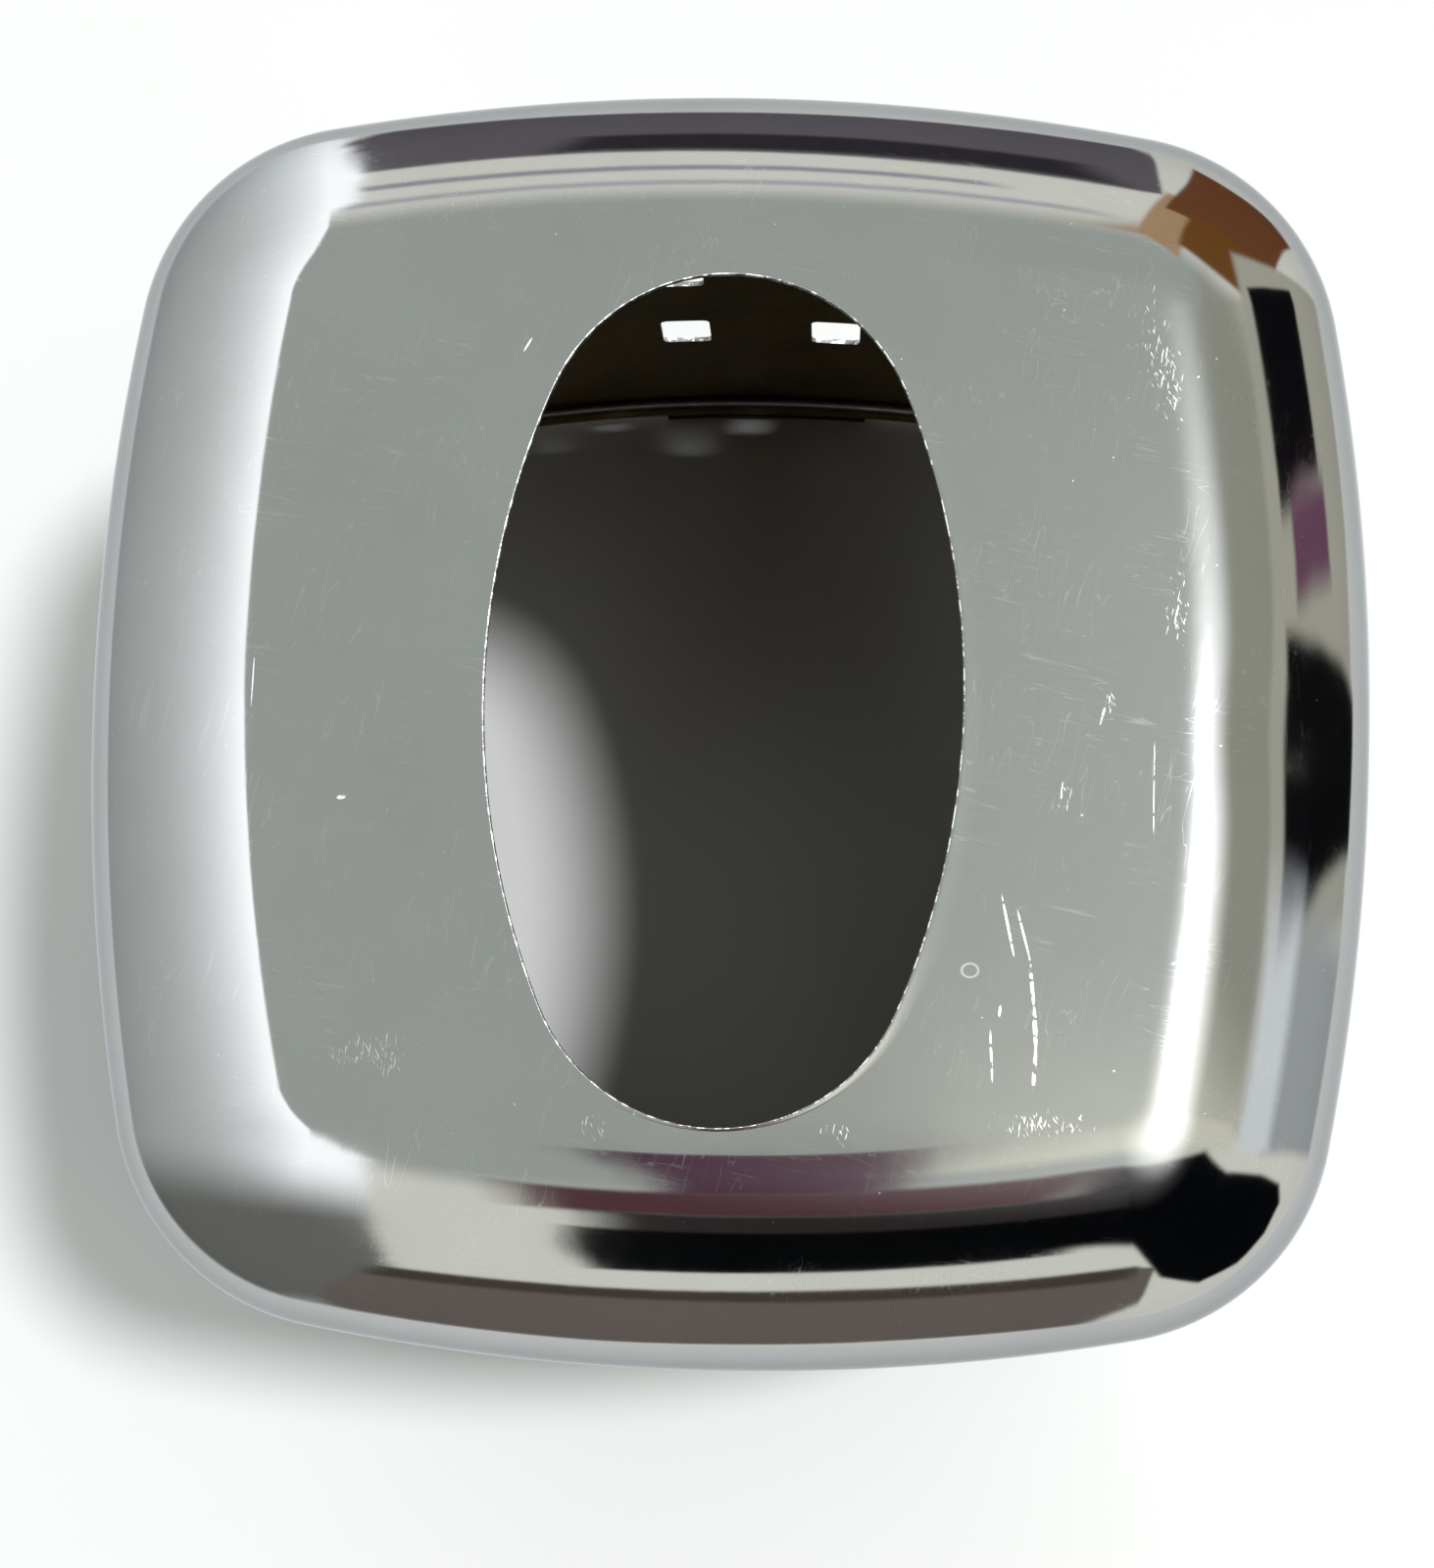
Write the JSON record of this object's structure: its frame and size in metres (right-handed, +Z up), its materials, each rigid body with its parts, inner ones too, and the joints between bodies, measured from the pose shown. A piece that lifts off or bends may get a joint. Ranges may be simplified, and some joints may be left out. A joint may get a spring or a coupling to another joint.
{
  "type": "tissue box cover",
  "caption": "Polished metal cover for a cube tissue carton, with rounded shoulders, an open bottom, an oval dispensing hole in its flat top and four small slots in its back wall.",
  "frame": {"origin": "centre of the footprint at table height", "axes": "+Z up; the oval's long axis lies along Y; the wall seam is on the -X side and the slots are in the +Y wall"},
  "size_m": [0.14, 0.14, 0.142],
  "materials": {
    "cap_metal": "polished, lightly scratched",
    "sleeve_metal": "polished, lightly scratched",
    "strap_metal": "plain rolled",
    "wire_metal": "drawn",
    "pad_rubber": "matte"
  },
  "bodies": {
    "root": {"top_cap": "cap_metal", "wall_sleeve": "sleeve_metal", "seam_strap": "strap_metal", "rim_wire": "wire_metal", "foot_pad_front": "pad_rubber", "foot_pad_right": "pad_rubber", "foot_pad_back": "pad_rubber", "foot_pad_left": "pad_rubber"}
  },
  "joints": []
}
